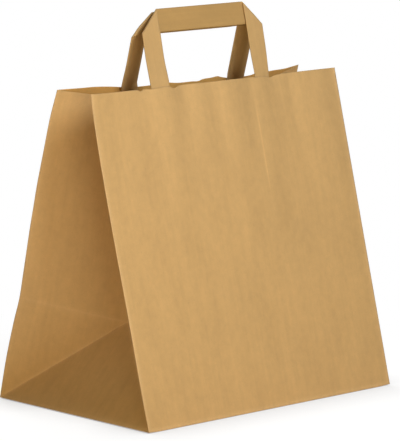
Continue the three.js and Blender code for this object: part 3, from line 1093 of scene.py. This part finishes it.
def addToBag(piece, slot, *nodes):
    shape = bmesh.new()
    shape.from_mesh(piece.data)
    if shape.calc_volume(signed=True) < 0:
        bmesh.ops.reverse_faces(shape, faces=shape.faces)
        shape.to_mesh(piece.data)
    triangles = sum(len(face.verts) - 2 for face in shape.faces)
    openEdges = sum(1 for edge in shape.edges if not edge.is_manifold)
    shape.free()
    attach(piece, "root")
    if nodes:
        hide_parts(*nodes)
    print(piece.name, "made:", triangles, "triangles,", openEdges, "open edges")


addToBag(addBagSheet(), "kraft_sheet", "bag_body")
addToBag(addSeam(), "kraft_sheet")
onFront = placer(frontAt, -1, frontHandle)
onBack = placer(backAt, 1, backHandle)
addToBag(addHandle("frontTape", onFront, frontHandle), "kraft_tape", "front_handle")
addToBag(addHandle("backTape", onBack, backHandle), "kraft_tape", "back_handle")
addToBag(addPatch("frontPatch", onFront, frontHandle), "kraft_patch", "front_handle_patch")
addToBag(addPatch("backPatch", onBack, backHandle), "kraft_patch", "back_handle_patch")

# The studio, in metres and watts: a floor and backdrop that look white whatever the lamps do, save for the
# bag's own shadow and a painted contact shadow close round it, and soft lamps on the bag. The paper-coloured
# bounce is what the floor sends up to it.
studio = {
    "floorSize": 30.0,
    "floorDrop": 0.0003,  # keeps the floor clear of the bag's underside
    "floorBounce": (0.86, 0.66, 0.30),
    "floorSeen": 0.2,
    "floorGlow": 0.9,
    "contactShade": 0.52,
    "contactReach": 0.06,
    "contactSamples": 16,
    "shadowReach": (0.24, 0.44),  # the shadow on the floor has faded out by here
    "worldLight": 0.02,
    "lamps": [
        # name, watts, colour, size, place, the point it faces
        ("key light", 8.5, (0.99, 1.03, 1.07), 0.5, (-0.05, -1.0, 0.9), (0, 0, 0.17)),
        ("front fill", 2.95, (1.0, 0.92, 0.76), 0.5, (-0.60, -1.07, 0.30), (0, 0, 0.15)),
        ("side fill", 1.15, (1.0, 0.82, 0.45), 0.4, (-0.85, -0.3, 0.32), (0, 0, 0.10)),
        ("floor card", 0.55, (0.9, 0.97, 1.25), 0.5, (-0.5, 0.0, 0.01), (-0.5, 0.0, 1.0)),
        ("back fill", 8.5, (1.0, 0.97, 0.92), 0.6, (0.5, 1.15, 0.6), (0, 0, 0.17)),
    ],
}
white = (1, 1, 1, 1)


def addLamp(name, watts, colour, size, place, aim):
    lamp = bpy.data.objects.new(name, bpy.data.lights.new(name, "AREA"))
    scene.collection.objects.link(lamp)
    lamp.data.energy = watts
    lamp.data.color = colour
    lamp.data.shape = "SQUARE"
    lamp.data.size = size
    lamp.location = place
    lamp.rotation_mode = "QUATERNION"
    lamp.rotation_quaternion = (Vector(aim) - Vector(place)).to_track_quat("-Z", "Y")


# One when the camera, a gloss or a clear surface looks, and zero for light on the object.
def seenDirectly(tree):
    path = addNode(tree, "ShaderNodeLightPath")
    seen = maths(tree, "MAXIMUM", path.outputs["Is Camera Ray"], path.outputs["Is Glossy Ray"])
    return maths(tree, "MAXIMUM", seen, path.outputs["Is Transmission Ray"])


def addWorld():
    world = bpy.data.worlds.new("white room")
    scene.world = world
    world.use_nodes = True
    tree = world.node_tree
    tree.nodes.clear()
    strength = maths(tree, "MAXIMUM", seenDirectly(tree), studio["worldLight"])
    sky = addNode(tree, "ShaderNodeBackground", {0: white, 1: strength})
    out = addNode(tree, "ShaderNodeOutputWorld")
    tree.links.new(sky.outputs[0], out.inputs[0])


def floorMaterial():
    material = bpy.data.materials.new("white floor")
    material.use_nodes = True
    tree = material.node_tree
    tree.nodes.clear()
    seen = seenDirectly(tree)

    # Near the bag: what the lamps light, and a glow that gives way where the bag stands close, a painted
    # contact shadow from ambient occlusion.
    bounce, grey = (*studio["floorBounce"], 1), (*[studio["floorSeen"]] * 3, 1)
    colour = addNode(tree, "ShaderNodeMix", {0: seen, 6: bounce, 7: grey}, data_type="RGBA").outputs[2]
    lit = addNode(tree, "ShaderNodeBsdfDiffuse", {0: colour}).outputs[0]
    clear = addNode(
        tree, "ShaderNodeAmbientOcclusion", {"Distance": studio["contactReach"]},
        samples=studio["contactSamples"],
    ).outputs["AO"]
    shade = times(tree, minus(tree, 1.0, clear), studio["contactShade"])
    level = times(tree, seen, minus(tree, studio["floorGlow"], shade))
    glow = addNode(tree, "ShaderNodeEmission", {0: white, 1: level}).outputs[0]
    near = addNode(tree, "ShaderNodeAddShader", (lit, glow)).outputs[0]

    # Further off it is plain white to whoever looks at it.
    plain = addNode(tree, "ShaderNodeEmission", {0: white, 1: 1.0}).outputs[0]
    place = addNode(tree, "ShaderNodeTexCoord").outputs["Object"]
    away = addNode(tree, "ShaderNodeVectorMath", {0: place}, operation="LENGTH").outputs["Value"]
    start, end = studio["shadowReach"]
    fading = addNode(
        tree, "ShaderNodeMapRange", {0: away, 1: start, 2: end, 3: 0.0, 4: 1.0},
        interpolation_type="SMOOTHSTEP",
    ).outputs[0]
    both = addNode(tree, "ShaderNodeMixShader", (times(tree, fading, seen), near, plain)).outputs[0]
    out = addNode(tree, "ShaderNodeOutputMaterial")
    tree.links.new(both, out.inputs[0])
    return material


def addFloor():
    shape = bmesh.new()
    bmesh.ops.create_grid(shape, x_segments=1, y_segments=1, size=studio["floorSize"] / 2)
    for corner in shape.verts:
        corner.co.z = -studio["floorDrop"]
    floor = pieceFrom(shape, "studioFloor")
    floor.data.materials.append(floorMaterial())


for lamp in studio["lamps"]:
    addLamp(*lamp)
addWorld()
addFloor()
scene.view_settings.view_transform = "Standard"
print("studio lit")
